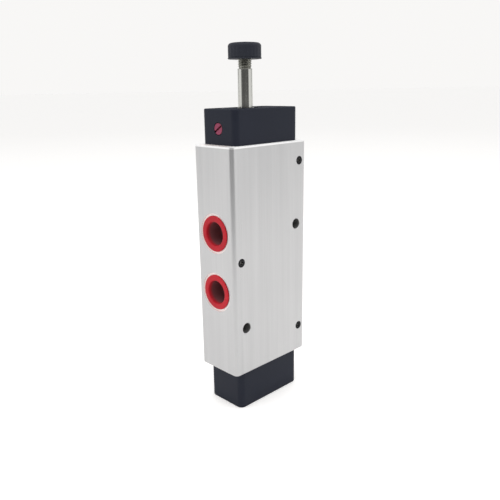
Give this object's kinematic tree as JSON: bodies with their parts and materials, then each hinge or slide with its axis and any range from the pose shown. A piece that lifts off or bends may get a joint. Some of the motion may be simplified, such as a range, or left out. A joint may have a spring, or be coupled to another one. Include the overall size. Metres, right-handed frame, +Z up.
{
  "type": "pneumatic solenoid valve",
  "caption": "Pilot-operated spool valve: aluminium port block with red thread protectors, black end caps, bare core tube and coil nut on top.",
  "frame": {"origin": "centre of the underside of the whole part, on the surface that it stands on", "axes": "+Z up along the spool; +X towards the face with the supply and exhaust ports; -Y out of the wide face with the mounting holes"},
  "size_m": [0.07, 0.0362, 0.2441],
  "materials": {
    "anodised_aluminium": "fine drawn grain, clear anodised",
    "head_plastic": "fine matte moulded",
    "nut_plastic": "satin moulded",
    "red_plastic": "soft gloss moulded",
    "override_plastic": "satin moulded",
    "stainless_steel": "bright drawn",
    "core_iron": "turned",
    "spring_steel": "drawn wire",
    "black_steel": "black oxide",
    "nitrile_rubber": "matte",
    "spool_aluminium": "hard anodised, ground",
    "acetal": "moulded",
    "slide_plastic": "machined",
    "brass": "turned",
    "copper": "drawn"
  },
  "bodies": {
    "valve": {"valve_body": "anodised_aluminium", "pilot_head": "head_plastic", "spring_cap": "head_plastic", "upper_gasket": "nitrile_rubber", "lower_gasket": "nitrile_rubber", "upper_cap_screws": "black_steel", "lower_cap_screws": "black_steel", "channel_screws": "black_steel", "return_spring": "spring_steel", "spring_seat": "acetal", "core_tube": "stainless_steel", "core_tube_seal": "nitrile_rubber", "core_tube_nut": "brass", "fixed_core": "core_iron", "shading_ring": "copper", "pilot_nozzle": "brass", "plunger_spring": "spring_steel", "override_keeper_pin": "stainless_steel"},
    "spool_set": {"spool": "spool_aluminium", "spool_seals": "nitrile_rubber", "spool_guide_ring": "slide_plastic", "drive_piston": "acetal", "piston_seal": "nitrile_rubber", "piston_guide_ring": "slide_plastic"},
    "plunger_set": {"plunger": "core_iron", "plunger_seal": "nitrile_rubber"},
    "override": {"override_screw": "override_plastic", "override_seal": "nitrile_rubber"},
    "nut_carrier": {"nut_washer": "nut_plastic"},
    "nut": {"coil_nut": "nut_plastic", "coil_nut_insert": "brass"},
    "supply_plug": {"supply_protector": "red_plastic"},
    "outlet_a_plug": {"outlet_a_protector": "red_plastic"},
    "outlet_b_plug": {"outlet_b_protector": "red_plastic"},
    "exhaust_a_plug": {"exhaust_a_protector": "red_plastic"},
    "exhaust_b_plug": {"exhaust_b_protector": "red_plastic"}
  },
  "joints": [
    {"name": "spool_shift", "type": "slide", "parent": "valve", "child": "spool_set", "axis": [0, 0, -1], "range_m": [0, 0.008], "stiffness_N_per_m": 1200, "springref_m": -0.005, "deforming": ["return_spring"]},
    {"name": "plunger_lift", "type": "slide", "parent": "valve", "child": "plunger_set", "axis": [0, 0, 1], "range_m": [0, 0.0012], "stiffness_N_per_m": 500, "springref_m": -0.003, "deforming": ["plunger_spring"]},
    {"name": "override_turn", "type": "hinge", "parent": "valve", "child": "override", "pos_m": [-0.0289, 0, 0.1918], "axis": [-1, 0, 0], "range_deg": [0, 90]},
    {"name": "nut_travel", "type": "slide", "parent": "valve", "child": "nut_carrier", "axis": [0, 0, 1], "range_m": [-0.004, 0.003]},
    {"name": "nut_turn", "type": "hinge", "parent": "nut_carrier", "child": "nut", "pos_m": [-0.0047, 0, 0.2339], "axis": [0, 0, 1], "range_deg": [-1440, 1080]},
    {"name": "supply_plug_pull", "type": "slide", "parent": "valve", "child": "supply_plug", "axis": [1, 0, 0], "range_m": [0, 0.015]},
    {"name": "outlet_a_plug_pull", "type": "slide", "parent": "valve", "child": "outlet_a_plug", "axis": [-1, 0, 0], "range_m": [0, 0.015]},
    {"name": "outlet_b_plug_pull", "type": "slide", "parent": "valve", "child": "outlet_b_plug", "axis": [-1, 0, 0], "range_m": [0, 0.015]},
    {"name": "exhaust_a_plug_pull", "type": "slide", "parent": "valve", "child": "exhaust_a_plug", "axis": [1, 0, 0], "range_m": [0, 0.015]},
    {"name": "exhaust_b_plug_pull", "type": "slide", "parent": "valve", "child": "exhaust_b_plug", "axis": [1, 0, 0], "range_m": [0, 0.015]}
  ],
  "couplings": [
    {"joint": "nut_travel", "follows": "nut_turn", "m_per_rad": 0.00015915}
  ]
}
